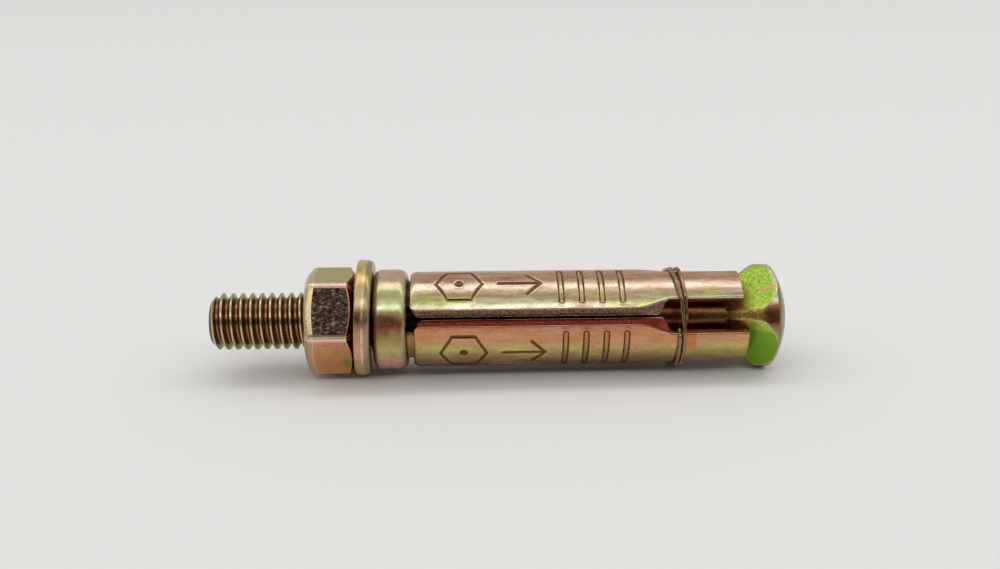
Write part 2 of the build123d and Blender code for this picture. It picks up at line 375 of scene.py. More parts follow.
# Spots of other tones on its lower flat: a place from the nut's start, a radius and a tone
NUT_SPOTS = [
    ((1.9, -4.9, -1.6), 0.8, (220, 166, 92)),
    ((1.1, -5.5, -0.4), 0.9, (222, 158, 150)),
    ((3.2, -3.3, -4.3), 0.8, (216, 156, 94)),
]


def fine_roughness(made, low, high):
    """Roughness between low and high, in small clouds with fine grain."""
    clouds = made.noise(1.1, detail=5.0, shift=7.0)
    inputs = {"Value": clouds, "From Min": 0.3, "From Max": 0.7, "To Min": low, "To Max": high}
    return made.add("MapRange", inputs).outputs[0]


def grain(made):
    """Pressed steel's surface: fine grain with faint lengthwise drawing marks, and shallow dents."""
    fine = made.noise(9.0, detail=4.0, shift=3.0)
    drawn = made.noise(5.0, detail=3.0, stretch=(0.15, 1, 1), shift=5.0)
    dents = made.noise(1.4, detail=2.0, shift=11.0)
    both = made.math("ADD", made.times(fine, 0.5), made.times(drawn, 0.5))
    return made.math("ADD", both, made.times(dents, 1.8))


def clouded(made, colour, other, share, scale, shift, stretch=LONG):
    """Colour with soft clouds of another one over it."""
    clouds = made.between(made.noise(scale, detail=4.0, stretch=stretch, shift=shift), 0.50, 0.66)
    return made.tint(colour, clouds, share, other)


def spot(made, centre, radius, soft=0.5):
    """1 near a place of the piece, with a ragged border."""
    away = made.add("VectorMath", {0: made.where, 1: centre}, operation="DISTANCE").outputs["Value"]
    away = made.math("ADD", away, made.swing(made.noise(2.2, shift=90.0), radius))
    return made.between(away, radius * (1 + soft), radius * (1 - soft))


def shield_finish_and_painted_light():
    """place holds the distance from a leaf's shoulder, the side, 1 or -1, and the part of the leaf."""
    made = Finish("shield_passivated_and_painted_light")
    along, side, part = made.place
    # tones by angle, with painted highlights and painted shade on the underside
    colour = tones_by_turn(made, 8, LEAF_TONES)
    clouds = made.noise(0.42, detail=4.0, stretch=(0.6, 1, 1), shift=20.0)
    greenish = made.math("ADD", made.turn_band(128, 151, 4), made.turn_band(194, 214, 6))
    greenish = made.times(greenish, made.between(clouds, 0.46, 0.62))
    colour = made.tint(colour, greenish, 0.65, YELLOW_GREEN)
    colour = clouded(made, colour, PINK, 0.45, 0.6, 41.0)
    colour = clouded(made, colour, (166, 136, 104), 0.35, 1.6, 52.0)
    # pale and dark lengthwise streaks, stronger on the upper leaf; there the pale ones also stand for a broken
    # painted highlight
    streaks = made.noise(2.4, detail=4.0, stretch=(0.14, 1, 1), shift=64.0)
    share = made.math("MULTIPLY_ADD", made.turn_between(175, 155), 0.26, 0.14)
    colour = made.tint(colour, made.between(streaks, 0.52, 0.66), share, (236, 226, 204))
    colour = made.tint(colour, made.between(streaks, 0.48, 0.34), share, (150, 106, 82))
    specks = made.noise(5.5, detail=4.0, shift=60.0)
    colour = made.tint(colour, made.between(specks, 0.56, 0.70), 0.35, BROWN)
    # an orange patch beside the wire ring, on the lower leaf: painted shade and reflection of the ring
    patch = made.times(made.band(along, 27.3, 28.65, 0.2), made.turn_band(167, 203, 6))
    colour = made.tint(colour, patch, 0.65, (196, 106, 62))
    # the bevel, grey with painted shade above the front slot and its own red below it, its ragged burr, pale
    # with edge wear and a painted glint, and a painted highlight along the rim past the taper
    speckled = made.between(specks, 0.44, 0.60)
    shadowed = made.mix(speckled, (136, 108, 88), (94, 62, 50))
    reddish = made.mix(speckled, (124, 52, 38), (78, 38, 30))
    upper = made.between(side, -0.2, 0.2)
    colour = made.mix(made.band(part, 0.6, 1.55, 0.10), colour, made.mix(upper, reddish, shadowed))
    # the burr's pale ragged edge: edge wear and a painted glint
    ragged = made.between(made.noise(1.3, shift=80.0), 0.34, 0.50)
    colour = made.mix(made.times(made.band(part, 1.62, 2.45, 0.08), ragged), colour, (226, 208, 190))
    # a painted highlight along the rim above the front slot, past the taper
    lit = made.times(made.band(part, 0.15, 0.95, 0.10), upper, made.between(along, 23.0, 25.0))
    colour = made.tint(colour, lit, 0.8, (246, 238, 226))
    # inside the leaves: painted shade, near black, where the slit is narrow; a brown tone past the taper
    inner = made.mix(made.between(along, 24.6, 26.0), SHADED, (206, 140, 100))
    colour = made.mix(made.between(part, 2.5, 2.9), colour, inner)
    # the stamps' walls in painted shade, their bottoms lighter on the upper leaves and darker on the lower
    # ones as painted light and shade, and the neck, in painted shade on its upper side
    depth = made.times(part, -1.0)
    colour = made.tint(colour, made.band(depth, 0.08, 0.80, 0.06), 0.88, (96, 58, 26))
    bottom = made.mix(made.turn_between(145, 170), (208, 176, 124), (164, 112, 66))
    colour = made.tint(colour, made.between(depth, 0.80, 0.98), 0.55, bottom)
    neck_tone = made.mix(made.between(made.z, 0.2, -0.6), (60, 44, 32), (162, 128, 78))
    colour = made.mix(made.between(depth, 1.4, 1.6), colour, neck_tone)
    return made.finish(colour, fine_roughness(made, 0.20, 0.36), grain(made), 0.4, 0.02)


def collar_finish_and_painted_light():
    made = Finish("collar_passivated_and_painted_light")
    # tones by angle, with painted highlights, a painted dark reflection facing the camera and painted shade
    # underneath
    colour = tones_by_turn(made, 10, COLLAR_TONES)
    green = made.between(made.noise(0.55, detail=4.0, shift=14.0), 0.47, 0.60)
    colour = made.tint(colour, green, 0.28, (168, 188, 100))
    colour = clouded(made, colour, (186, 132, 112), 0.35, 1.1, 27.0, EVEN)
    curl = made.between(made.x, COLLAR_BAND / 2 + 0.25, collar_end - 0.1)
    colour = made.tint(colour, curl, 0.75, (176, 166, 140))
    # the nose darker beside the washer: painted shade of the gap between them
    nose = made.math("SUBTRACT", 1.0, made.between(made.x, collar_start + 0.1, collar_start + 0.8))
    colour = made.tint(colour, nose, 0.6, (150, 120, 98))
    return made.finish(colour, fine_roughness(made, 0.20, 0.38), grain(made), 0.4, 0.02)


def washer_finish_and_painted_light():
    """place holds the distance along the washer's own axis from its middle."""
    made = Finish("washer_passivated_and_painted_light")
    along = made.place[0]
    # tones by angle, with a painted highlight, a painted dark reflection facing the camera and painted shade
    # underneath
    colour = tones_by_turn(made, 12, WASHER_TONES, 0.35)
    colour = clouded(made, colour, PINK, 0.35, 0.8, 33.0, EVEN)
    colour = clouded(made, colour, (168, 146, 66), 0.45, 1.3, 71.0, EVEN)
    # grey olive towards the rounded side: a painted reflection
    colour = made.tint(colour, made.between(along, 0.12, 0.34), 0.8, (158, 146, 112))
    # a broken pink-white line along the rim: a painted highlight
    broken = made.between(made.noise(0.7, shift=55.0), 0.38, 0.55)
    line = made.times(made.band(along, -0.04, 0.16, 0.07), broken)
    colour = made.tint(colour, line, 0.8, (244, 206, 190))
    return made.finish(colour, fine_roughness(made, 0.22, 0.40), grain(made), 0.35, 0.02)


def nut_finish_and_painted_light():
    """place holds how far a point is inside the rounded ends, the angle off a flat's middle, and the flat."""
    made = Finish("nut_passivated_and_painted_light")
    inside, across, flat = made.place
    specks = made.noise(4.6, detail=5.0, rough=0.7, shift=9.0, stretch=(0.55, 1, 1))
    top = made.mix(made.noise(0.4, shift=2.0), (184, 176, 108), (200, 180, 120))
    clouds = made.between(made.noise(0.6, detail=3.0, shift=6.4), 0.40, 0.60)
    low = made.mix(clouds, (206, 158, 104), (214, 150, 122))
    for (x, y, z), radius, tone in NUT_SPOTS:
        low = made.mix(spot(made, (nut_start + x, y, z), radius, 0.9), low, tone)
    low = made.tint(low, spot(made, (nut_start + 4.2, -3.9, -3.3), 0.6), 0.8, (128, 158, 78))
    colour = made.mix(made.band(flat, TOP_FLAT - 0.5, TOP_FLAT + 0.5, 0.02), low, top)
    colour = clouded(made, colour, BROWN, 0.25, 2.2, 15.0, EVEN)
    # the rounded ends, towards the stud and towards the washer
    right = made.between(made.x, nut_end - 1.5, nut_end - 1.0)
    left = made.mix(made.between(flat, 2.4, 2.6), (206, 190, 142), (204, 164, 120))
    colour = made.mix(made.between(inside, 0.04, -0.06), colour, made.mix(right, left, (132, 58, 36)))
    # pale pink corners and end borders of the flats: a painted highlight
    edge_highlight = made.between(made.math("ABSOLUTE", across), 26.0, 28.2)
    edge_highlight = made.math("MAXIMUM", edge_highlight, made.band(inside, -0.04, 0.10, 0.03))
    colour = made.tint(colour, edge_highlight, 0.8, (238, 212, 196))
    # the dark scraped flat, with a torn border
    scraped = made.times(
        made.between(inside, 0.10, 0.20), made.band(across, -25.6, 25.8, 0.8),
        made.band(flat, SCRAPED_FLAT - 0.5, SCRAPED_FLAT + 0.5, 0.02),
    )
    torn = made.math("ADD", scraped, made.swing(specks, 0.6))
    torn = made.times(made.between(torn, 0.35, 0.55), made.between(scraped, 0.0, 0.3))
    colour = made.mix(torn, colour, made.ramp(specks, SCRAPED_TONES))
    roughness = made.math("ADD", fine_roughness(made, 0.22, 0.38), made.times(torn, 0.14))
    height = made.math("ADD", grain(made), made.times(specks, torn, 6.0))
    return made.finish(colour, roughness, height, 0.55, 0.03)


def bolt_finish_and_painted_light():
    """place holds the thread's height, the share of a wedge facet, or below 0 the share of the thread's flank
    that faces the nut, and the share of the dome."""
    made = Finish("bolt_passivated_and_painted_light")
    height, facet, dome = made.place
    specks = made.noise(4.2, detail=5.0, shift=17.0)
    flank = made.mix(made.between(facet, -0.35, -0.65), (106, 66, 50), (140, 148, 48))
    flank = clouded(made, flank, (92, 74, 36), 0.4, 1.6, 3.0, EVEN)
    # the roots' dark edges are painted shade, and the pale crests a painted highlight
    root = made.mix(made.between(height, 0.01, 0.06), (148, 98, 72), (80, 52, 38))
    threads = made.mix(made.between(height, 0.03, 0.08), root, flank)
    threads = made.mix(made.between(height, 0.93, 1.0), threads, (206, 182, 150))
    # the shank, as it shows in the slots, in painted shade: lighter in the middle of the front slot, olive
    # brown towards the wedge, and darker the further it is inside the shield
    shank = made.mix(made.between(specks, 0.40, 0.62), (112, 58, 42), (84, 48, 34))
    shank = made.mix(made.turn_band(146, 174, 8), (176, 106, 74), shank)
    shank = made.mix(made.between(made.x, 30.0, 34.0), shank, (122, 86, 54))
    shank = made.mix(made.between(made.x, 27.6, 26.4), shank, SHADED)
    colour = made.mix(made.between(made.x, nut_end + 0.4, nut_end - 0.4), shank, threads)
    # the head's ribs and rim
    rib = made.mix(made.between(specks, 0.42, 0.60), (198, 166, 93), (152, 128, 67))
    colour = made.mix(made.between(made.x, wedge_start - 0.1, wedge_start + 1.5), colour, rib)
    # the rim's tones by angle: a painted highlight over its top and a painted dark reflection where it faces
    # the camera
    rim = made.ramp(made.turn, in_turns(RIM_TONES))
    colour = made.mix(made.between(made.x, rim_start - 0.85, rim_start + 0.55), colour, rim)
    # the green facets, the upper one with two worn spots
    green = made.ramp(made.noise(3.6, detail=5.0, rough=0.7, shift=27.0), FACET_TONES)
    green = made.tint(green, made.between(made.z, 3.6, 2.2), 0.4, (206, 220, 96))
    low = made.between(made.z, 0.2, -0.4)
    green = made.mix(low, green, (134, 183, 55))
    patch = made.math("MAXIMUM", spot(made, (39.1, -2.74, 4.19), 0.42), spot(made, (38.3, -2.54, 3.76), 0.36))
    green = made.tint(green, patch, 0.8, (224, 168, 116))
    on_wedge = made.between(made.x, wedge_start + 1.0, wedge_start + 1.8)
    colour = made.mix(made.times(made.between(facet, 0.45, 0.7), on_wedge), colour, green)
    # the dome
    cap = clouded(made, made.ramp(dome, DOME_TONES), (110, 80, 64), 0.5, 1.2, 45.0, EVEN)
    cap = made.tint(cap, made.between(made.z, -1.0, -3.2), 0.7, (194, 184, 150))
    colour = made.mix(made.between(dome, 0.0, 0.04), colour, cap)
    # the pale rim beside a facet, and the upper facet's round end
    edge = made.between(made.x, wedge_start + 1.9, wedge_start + 2.9)
    edge = made.times(made.band(facet, 0.10, 0.50, 0.08), edge)
    aside = made.math("SUBTRACT", made.z, 3.7)
    rounded = made.math("ADD", made.x, made.times(aside, aside, 0.07))
    rounded = made.math("ADD", rounded, made.swing(specks, 0.5))
    end_edge = made.times(
        made.between(facet, 0.1, 0.3), made.between(rounded, rim_end - 0.39, rim_end - 0.15),
        made.between(made.z, 0.9, 1.5),
    )
    colour = made.tint(colour, made.math("MAXIMUM", edge, end_edge), 0.74, (226, 216, 190))
    # facets are rougher, and the upper ones are grained too
    cut = made.math("MAXIMUM", facet, 0.0)
    rough = made.math("ADD", fine_roughness(made, 0.20, 0.34), made.times(cut, 0.10))
    rough_cut = made.times(cut, made.math("SUBTRACT", 1.0, low))
    bumps = made.math("ADD", grain(made), made.times(specks, rough_cut, 3.0))
    return made.finish(colour, rough, bumps, 0.45, 0.03)


def wire_finish():
    made = Finish("spring_wire")
    colour = made.ramp(made.noise(0.9, detail=2.0, shift=4.0), WIRE_TONES)
    return made.finish(colour, 0.26, made.noise(6.0), 0.15, 0.02)


# Bolt


def thread_radius(phase):
    """Radius of the thread's surface, phase turns after a crest, and its height from 0 to 1."""
    away = np.abs((phase + 0.5) % 1 - 0.5) * PITCH
    straight = np.clip((away - CREST_HALF) / (FLANK_END - CREST_HALF), 0, 1)
    height = 1 - smooth_step(away, CREST_HALF, FLANK_END) * 0.35 - 0.65 * straight
    return THREAD_ROOT + (THREAD_OUTER - THREAD_ROOT) * height, height


def thread(mesh, columns=96, steps=26):
    """The stud's thread, whose rows follow the helix, and its chamfered flat end."""
    turns = np.arange(columns + 1) * 360 / columns
    phases = np.arange(-2 * steps, int((nut_end - stud_end + 2) * steps) + 1) / steps
    start = CREST_PLACE - PITCH * (CREST_TURN / 360) - np.ceil(CREST_PLACE - stud_end)
    x = start + PITCH * (phases[:, None] + turns[None, :] / 360)
    radius, height = thread_radius(phases[:, None] + 0 * turns[None, :])
    # rows that would lie beyond the stud's end close its flat face
    beyond = stud_end - x
    face = THREAD_OUTER - STUD_CHAMFER
    radius = smooth_least(radius, face + (x - stud_end), 0.05)
    last = np.clip(1 - beyond / (beyond.max(axis=0, keepdims=True) + 1e-6), 0, 1)
    radius = np.where(beyond > 0, face * last, radius)
    end = nut_end + 0.2
    radius = radius + (SHANK_RADIUS - radius) * smooth_step(x, end - 0.8, end)
    x = np.clip(x, stud_end + np.where(beyond > 0, 0.04 * (1 - last) ** 2, 0), end)
    points = ring_points(x, radius, turns[None, :])
    height = np.where(beyond > 0, 0.6, height)
    towards_nut = (1 + np.sin(2 * pi * phases[:, None])) / 2
    places = np.stack([height, -np.where(beyond > 0, 0.5, towards_nut), 0 * height], axis=-1)
    mesh.add(points, places, round_rows=False)


def wedge_profile(x):
    """Radius of the head before its facets are cut."""
    flare = (x - wedge_start) / (rim_start - wedge_start)
    bulge = WEDGE_BULGE * 4 * flare * (1 - flare)
    coned = SHANK_RADIUS + (RIM_RADIUS - SHANK_RADIUS) * flare + bulge
    radius = np.where(x < wedge_start, SHANK_RADIUS, coned)
    ball = (RIM_RADIUS**2 + DOME_HEIGHT**2) / (2 * DOME_HEIGHT)
    on_ball = np.sqrt(np.clip(ball**2 - (x - (apex - ball)) ** 2, 0, None))
    radius = smooth_least(radius, RIM_RADIUS + 0 * x, 0.18)
    return np.where(x > rim_end - 0.3, smooth_least(radius, on_ball, 0.35), radius)


UNCUT = 99.0                 # a radius that no facet reaches


def head(mesh, columns=320):
    """The shank, the wedge with its four facets, the rim and the dome."""
    x = np.concatenate([
        [nut_end + 0.2, 0, 10, 20, 26],
        np.arange(28, wedge_start - 0.3, 0.5),
        np.arange(wedge_start - 0.3, apex - 0.4, 0.045),
        apex - 0.4 * (1 - np.sin(np.linspace(0, pi / 2, 24))),
    ])
    turns = np.arange(columns) * 360 / columns
    plain = wedge_profile(x)[:, None] + 0 * turns
    level = RIM_RADIUS - FACET_DEPTH + (x - rim_start) * tan(radians(FACET_ANGLE))
    radius, cut = plain.copy(), 0 * plain
    for middle in LEAVES.values():
        away = np.radians((turns - middle + 180) % 360 - 180)
        side = np.cos(away)
        flat = np.where(side > 0.3, level[:, None] / np.maximum(side, 0.3), UNCUT)
        flat = np.where(x[:, None] > wedge_start - 0.2, np.maximum(flat, SHANK_RADIUS * 0.98), UNCUT)
        radius = smooth_least(radius, flat, 0.07)
        cut = np.maximum(cut, smooth_step(plain - flat, -0.02, 0.10))
    domed = smooth_step(x, rim_end - 0.25, rim_end + 0.05)[:, None]
    domed = domed * (0.05 + 0.95 * (1 - plain / RIM_RADIUS))
    points = ring_points(x[:, None], radius, turns)
    places = np.stack([0 * radius, cut, domed + 0 * radius], axis=-1)
    index = mesh.add(points, places)
    mesh.cap(index[-1, :-1])


# Nut

NUT_ROUNDING = 1.10          # along X, of the corners at the end that faces the stud
NUT_FACE_RADIUS = 4.40       # of the flat face at that end
NUT_CHAMFER = 0.30           # how far the face towards the washer lies inside the flats
NUT_CHAMFERED = 0.75         # along X, where rows lie close together for that chamfer


def nut(mesh, columns=360):
    """A hexagon nut, a flat on top, rounded towards the stud and chamfered towards the washer."""
    half = NUT_ACROSS_FLATS / 2
    turns = np.arange(columns) * 360 / columns
    # a corner counts as the next flat's start, in spite of rounding
    nudged = turns + 0.001
    away = nudged % 60 - 30
    number = np.floor((nudged % 360) / 60)
    flat = half / np.cos(np.radians(away))
    corner = half / cos(radians(30))
    ends = np.linspace(0, 1, 22) ** 1.2
    middle = np.linspace(NUT_ROUNDING, NUT_THICKNESS - NUT_CHAMFERED, 16)
    x = np.concatenate([ends * NUT_ROUNDING, middle[1:-1], NUT_THICKNESS - NUT_CHAMFERED * ends[::-1]])
    reach = NUT_ROUNDING - 0.28 * (corner - flat) / (corner - half)
    share = np.clip(1 - x[:, None] / reach[None, :], 0, 1)
    rounded = flat - (flat - NUT_FACE_RADIUS) * (1 - np.sqrt(1 - share**2))
    face = half - NUT_CHAMFER
    cone = face + (NUT_THICKNESS - x) / tan(radians(30))
    radius = smooth_least(rounded, cone[:, None] + 0 * rounded, 0.16)
    radius = np.where(x[:, None] < NUT_ROUNDING, rounded, radius)
    radius = smooth_least(radius, corner - 0.16 + 0 * radius, 0.12)
    inside = np.minimum((x[:, None] - reach[None, :]) * 2, cone[:, None] - flat[None, :])
    flats = np.where(number == 1, TOP_FLAT, np.where(number == 2, SCRAPED_FLAT, OTHER_FLAT))
    place = np.stack([inside, away + 0 * radius, flats + 0 * radius], axis=-1)
    mesh.add(ring_points(nut_start + x[:, None], radius, turns), place)
    bore, mouth = SHANK_RADIUS + 0.05, SHANK_RADIUS + 0.50
    for side, inward, outer in ((0.0, 1, NUT_FACE_RADIUS), (NUT_THICKNESS, -1, face)):
        rows = np.array([
            (side, outer), (side, mouth + 0.1), (side + inward * 0.05, mouth), (side + inward * 0.45, bore),
            (NUT_THICKNESS / 2, bore),
        ])
        points = ring_points(nut_start + rows[:, :1], rows[:, 1:], turns)
        mesh.add(points, np.array([-1.0, 0, OTHER_FLAT]), flip=side > 0)


# Washer and collar


def washer(mesh):
    """Leans on its neighbours and hangs on the stud, as the frame's washer does."""
    low, high = span("washer")
    radius = (high[1] - low[1]) / 2
    punched, burr = 0.40, 0.25
    half, hole = WASHER_THICKNESS / 2, WASHER_HOLE
    face = 4.2
    profile = [(-half, hole + 0.1), (-half + 0.1, hole), (half - 0.2, hole), (half, hole + 0.2)]
    profile += [(half, face), (half, radius - punched)]
    profile += arc((0.05, radius - punched), (half - 0.05, punched), 0, 90, 12)
    profile += [(-half + burr + 0.2, radius)]
    profile += arc((burr - half, radius - burr), (burr, burr), 90, 180, 6)
    profile += [(-half, face)]
    x, y, z = np.moveaxis(turned(profile), -1, 0)
    lean = asin(WASHER_LEAN / (2 * radius))
    middle, _, lift = (low + high) / 2
    moved = [middle + x * cos(lean) + z * sin(lean), y, lift - x * sin(lean) + z * cos(lean)]
    places = np.stack([x, np.hypot(y, z), 0 * x], axis=-1)
    mesh.add(np.stack(moved, axis=-1), places, round_columns=True)


def collar(mesh):
    """A pressed cup with a rounded nose, and a lip that curls in over the leaves' necks."""
    band = COLLAR_BAND / 2
    nose_drop, lip, hole, inside = 0.70, 4.22, 3.2, 4.5
    wall = collar_start + 0.85
    profile = [(wall, hole + 0.1), (wall, hole), (collar_start + 0.05, hole), (collar_start, hole + 0.05)]
    profile += [(collar_start, 4.0)]
    profile += arc((-band, COLLAR_RADIUS - nose_drop), (COLLAR_NOSE, nose_drop), 180, 90, 14)
    profile += [(-0.3, COLLAR_RADIUS), (0.3, COLLAR_RADIUS)]
    profile += arc((band, lip + 0.10), (COLLAR_CURL, COLLAR_RADIUS - lip - 0.10), 90, 0, 16)
    profile += [(collar_end, lip + 0.03), (collar_end - 0.03, lip), (collar_end - 0.14, lip)]
    profile += [(band, inside), (wall, inside)]
    mesh.add(turned(profile), np.zeros(3), round_columns=True)


# Leaves

MARK_MIDDLE = 5.0            # from the leaf's shoulder to the middle of the stamped hexagon
MARK_RADIUS = 2.35
ARROW_START, ARROW_END, ARROW_BARB = 9.0, 13.3, 1.4
MARK_DEPTH = 0.11            # of the hexagon, its dot and the arrow
BAR_FIRST, BAR_SPACING, BAR_COUNT = 15.35, 2.07, 4
BAR_LENGTH, BAR_HALF_WIDTH, BAR_DEPTH = 4.4, 0.31, 0.18
SWELL, SWELL_AWAY, SWELL_WIDTH = 0.018, 0.16, 0.12   # of the metal beside a stamped line

# Distances of a leaf's edges from the slit's middle, before and past the taper, and radii of their shelf
RIM_GAPS = (0.82, 1.79)
SIDE_GAPS = (0.10, 1.64)
INSIDE_GAPS = (0.10, 1.40)
SHELF_RADII = (4.42, 4.80)
RIM_TAPER = (22.7, 26.7)     # from the shoulder
SIDE_TAPER = (25.1, 26.3)
TAPER_END = 27
LEAF_CORNER = 1.1            # along the slit, of the rounded corners at the collar
END_ROUNDING = 0.07          # of the leaf's two ends
TIP_TRIM = {"leaf_upper_front": 0.17}


def segment_gap(x, y, start, end):
    """Distance from points to a straight line between two others."""
    (x0, y0), (x1, y1) = start, end
    run, rise = x1 - x0, y1 - y0
    share = np.clip(((x - x0) * run + (y - y0) * rise) / (run**2 + rise**2), 0, 1)
    return np.hypot(x - x0 - share * run, y - y0 - share * rise)


def stamps():
    """Stamped lines as (start, end, half width, depth), with places from a leaf's shoulder and its middle."""
    turns = [radians(a) for a in range(0, 361, 60)]
    corners = [(MARK_MIDDLE + MARK_RADIUS * cos(t), MARK_RADIUS * sin(t)) for t in turns]
    lines = [(a, b, 0.15, MARK_DEPTH) for a, b in zip(corners, corners[1:])]
    lines.append(((MARK_MIDDLE, -0.01), (MARK_MIDDLE, 0.01), 0.42, MARK_DEPTH))
    barbs = ARROW_END - ARROW_BARB
    for start in ((ARROW_START, 0), (barbs, -ARROW_BARB), (barbs, ARROW_BARB)):
        lines.append((start, (ARROW_END, 0), 0.17, MARK_DEPTH))
    for number in range(BAR_COUNT):
        place = BAR_FIRST + number * BAR_SPACING
        lines.append(((place, -BAR_LENGTH / 2), (place, BAR_LENGTH / 2), BAR_HALF_WIDTH, BAR_DEPTH))
    return lines


def stamped(x, y):
    """Depth of the stamps at points of a leaf's outside, less the low swell of the metal beside them."""
    depth = 0 * x
    swell = 0 * x
    for start, end, half, deep in stamps():
        gap = segment_gap(x, y, start, end)
        depth = np.maximum(depth, deep * (1 - smooth_step(gap, half - 0.23, half + 0.08)))
        swell = np.maximum(swell, SWELL * np.exp(-((gap - half - SWELL_AWAY) / SWELL_WIDTH) ** 2))
    return depth - np.where(depth > 0.01, 0, swell)


def corner_curve(before, corner, after, radius, count=4):
    """Points that round a corner."""
    before, corner, after = (np.array(p, float) for p in (before, corner, after))
    start = corner + (before - corner) / np.linalg.norm(before - corner) * radius
    end = corner + (after - corner) / np.linalg.norm(after - corner) * radius
    share = np.linspace(0, 1, count)[:, None]
    return (1 - share) ** 2 * start + 2 * share * (1 - share) * corner + share**2 * end


def at_edge(gap, radius):
    """The point this far from the middle of the slit and from the axis, beside a leaf whose middle is up."""
    turn = pi / 4 - asin(gap / radius)
    return np.array([radius * sin(turn), radius * cos(turn)])


def share_of(ends, share):
    """The value at this share of the way between two ends."""
    return ends[0] + (ends[1] - ends[0]) * share


def leaf_section(along, inset, across):
    """A leaf's outline at a distance from its shoulder: points, and the part of the leaf that each is on."""
    corner = 1 - (1 - max(0.0, 1.0 - along / LEAF_CORNER) ** 2) ** 0.5
    rim_taper = float(smooth_step(along, *RIM_TAPER))
    side_taper = float(smooth_step(along, *SIDE_TAPER))
    rim = share_of(RIM_GAPS, rim_taper) + 0.35 * corner + inset
    side = share_of(SIDE_GAPS, side_taper) + corner + inset
    inside = share_of(INSIDE_GAPS, side_taper) + corner * 0.8 + inset
    shelf = share_of(SHELF_RADII, side_taper)
    rounding = 0.24 * max(0.0, 1 - along / 0.6) ** 2
    outer, inner = LEAF_OUTER - inset - rounding, LEAF_INNER + inset * 0.5
    low, mid, top = at_edge(inside, inner), at_edge(side, shelf - inset * 0.5), at_edge(rim, outer)
    turn = atan2(top[0], top[1])
    level = top + np.array([-cos(turn), sin(turn)])
    soft = 0.10 + 0.15 * side_taper
    half = np.concatenate([
        [low],
        corner_curve(low, mid, top, 0.13),
        corner_curve(mid, top, level, soft, 5),
    ])
    edge = turn - soft / outer
    turns = np.linspace(edge, -edge, across)[1:-1]
    arc_length = turns * LEAF_OUTER
    depth = stamped(np.full_like(turns, along), arc_length) if inset == 0 else 0 * turns
    outside = np.stack([(outer - depth) * np.sin(turns), (outer - depth) * np.cos(turns)], axis=-1)
    low_turn = atan2(low[0], low[1])
    inner_turns = np.linspace(-low_turn, low_turn, 22)[1:-1]
    inside_arc = np.stack([inner * np.sin(inner_turns), inner * np.cos(inner_turns)], axis=-1)
    mirrored = half[::-1] * np.array([-1, 1])
    points = np.concatenate([half, outside, mirrored, inside_arc])
    deep = -np.clip(depth / BAR_DEPTH, 0, 1)
    part = np.concatenate([EDGE_PARTS, deep, EDGE_PARTS[::-1], np.full(len(inner_turns), INSIDE_PART)])
    return points, part


def leaf_stations():
    """Distances from the shoulder at which a leaf's outline is drawn, close together where it is stamped."""
    marks = np.arange(2.3, ARROW_END + 0.4, 0.075)
    bars = np.arange(BAR_FIRST - 0.5, BAR_FIRST + (BAR_COUNT - 1) * BAR_SPACING + 0.5, 0.05)
    edges = [0.0, 0.05, 0.12, 0.22, 0.34, 0.48, 0.65, 0.85, 1.1, 1.3]
    taper = np.arange(22.3, 27.0, 0.12)
    plain = np.concatenate([[1.6, 2.0], np.arange(27.2, 33.9, 0.5)])
    everything = np.concatenate([edges, marks, bars, taper, plain, [LEAF_LENGTH - 0.08, LEAF_LENGTH]])
    return np.unique(np.round(everything, 4))


def leaf(mesh, node, middle, across=84):
    """A pressed leaf whose middle faces this angle, and its neck."""
    shoulder = span(node)[1][0] - LEAF_LENGTH
    stations = leaf_stations()
    beyond_taper = np.clip((stations - TAPER_END) / (LEAF_LENGTH - TAPER_END), 0, 1)
    places_along = shoulder + stations - TIP_TRIM.get(node, 0) * beyond_taper
    rows, parts = [], []
    for along in stations:
        inset = END_ROUNDING if along in (stations[0], stations[-1]) else 0.0
        points, part = leaf_section(along, inset, across)
        rows.append(points)
        parts.append(part)
    rows, parts = np.array(rows), np.array(parts)
    # a leaf is drawn with its middle up, then turned so that its middle faces its own angle
    turn = radians(middle)
    right, up = rows[..., 0], rows[..., 1]
    y = up * cos(turn) + right * sin(turn)
    z = up * sin(turn) - right * cos(turn)
    x = places_along[:, None] + 0 * y
    places = np.stack([x - shoulder, -np.sign(rows[..., 0]), parts], axis=-1)
    index = mesh.add(np.stack([x, y, z], axis=-1), places)
    mesh.cap(index[0, :-1][::-1])
    mesh.cap(index[-1, :-1])
    neck(mesh, shoulder, middle)


NECK_HALF = 27               # degrees each side of the leaf's middle


def neck(mesh, shoulder, middle):
    """The narrow part that the collar holds, with its bead, and its step up to the leaf."""
    outline = np.array([
        (-2.60, 3.20), (0.0, 3.20), (0.95, 3.86), (0.95, 4.10), (0.0, 4.15), (-1.55, 4.15), (-1.75, 4.35),
        (-2.52, 4.35), (-2.60, 4.27),
    ])
    turns = middle + np.linspace(-NECK_HALF, NECK_HALF, 19)
    points = ring_points(shoulder + outline[None, :, 0], outline[None, :, 1], turns[:, None])
    index = mesh.add(points, np.array([0, 0, NECK_PART]))
    mesh.cap(index[0, :-1])
    mesh.cap(index[-1, :-1][::-1])


# Wire ring

RING_LEVEL = 5.25            # from the axis to the wire's middle
SLOT_HALF = 21               # degrees from the middle of a slot to the leaf, where the wire lies
